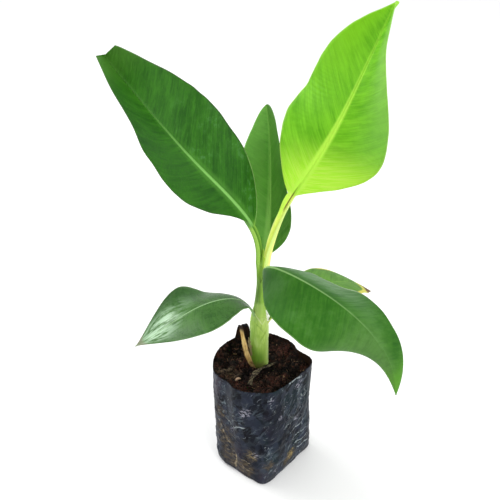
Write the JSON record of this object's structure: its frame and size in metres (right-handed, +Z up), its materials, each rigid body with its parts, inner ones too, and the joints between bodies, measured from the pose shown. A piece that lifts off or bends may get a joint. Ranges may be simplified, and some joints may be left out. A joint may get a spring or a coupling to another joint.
{
  "type": "potted banana plant",
  "caption": "Young banana plant in a black polythene nursery bag of soil, with broad leaves fanning out from the top of a pale green pseudostem.",
  "frame": {"origin": "centre of the bag's flat underside, on the ground", "axes": "+Z up along the pseudostem, -Y towards the front, which the bright leaf's upper face looks to, +X to the right seen from the front"},
  "size_m": [0.2358, 0.2187, 0.4817],
  "materials": {
    "film": "crumpled black polythene film, half gloss, with scuffs and dried soil",
    "soil": "dark crumbly potting soil with fibres, matt",
    "stem": "pale green leaf sheaths, smooth, satin",
    "dry_sheath": "dry straw-coloured sheath, matt",
    "bright_leaf": "banana leaf, satin, with a paler midrib and fine parallel veins",
    "tall_left_leaf": "banana leaf, satin, with a paler midrib and fine parallel veins",
    "middle_leaf": "banana leaf, satin, with a paler midrib and fine parallel veins",
    "low_left_leaf": "banana leaf, satin, with a paler midrib and fine parallel veins",
    "low_right_leaf": "banana leaf, satin, with a paler midrib and fine parallel veins",
    "old_back_leaf": "banana leaf, satin, with a paler midrib and fine parallel veins"
  },
  "bodies": {
    "root": {"grow_bag": "film", "soil_fill": "soil", "pseudostem": "stem", "dry_sheath": "dry_sheath", "bright_leaf": "bright_leaf", "tall_left_leaf": "tall_left_leaf", "middle_leaf": "middle_leaf", "low_left_leaf": "low_left_leaf", "low_right_leaf": "low_right_leaf", "old_back_leaf": "old_back_leaf"}
  },
  "joints": []
}
